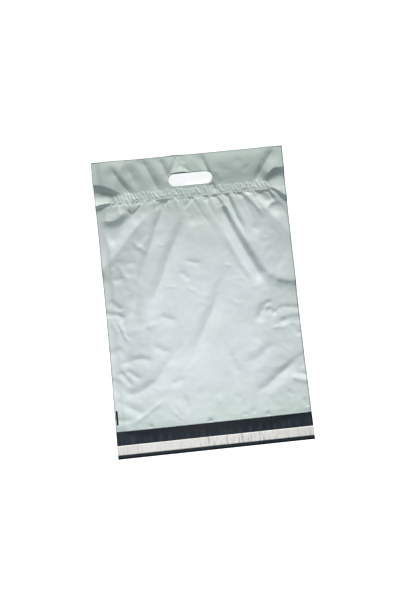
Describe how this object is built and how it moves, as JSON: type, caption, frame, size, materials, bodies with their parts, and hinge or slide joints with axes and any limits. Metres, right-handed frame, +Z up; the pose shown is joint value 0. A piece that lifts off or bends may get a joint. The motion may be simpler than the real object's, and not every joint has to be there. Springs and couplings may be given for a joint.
{
  "type": "poly mailer bag",
  "caption": "Flat film mailing bag with a silver outside and black inside, a die-cut hand slot over a gathered seal, and a closing lip with a peel-off liner.",
  "frame": {"origin": "middle of the lying bag, on the surface under its back ply", "axes": "+Z up through the plies, from the back ply to the front one; +Y along the bag from the closing lip to the handle; +X across to the right, seen from above"},
  "size_m": [0.38, 0.58, 0.0127],
  "materials": {
    "silver_film": "satin polyethylene film, silver-grey outside and black inside",
    "hot_melt": "tacky pressure-sensitive adhesive",
    "liner": "smooth coated release paper, finely puckered"
  },
  "bodies": {
    "root": {"film_bag": "silver_film", "adhesive_strip": "hot_melt", "release_liner": "liner"}
  },
  "joints": []
}
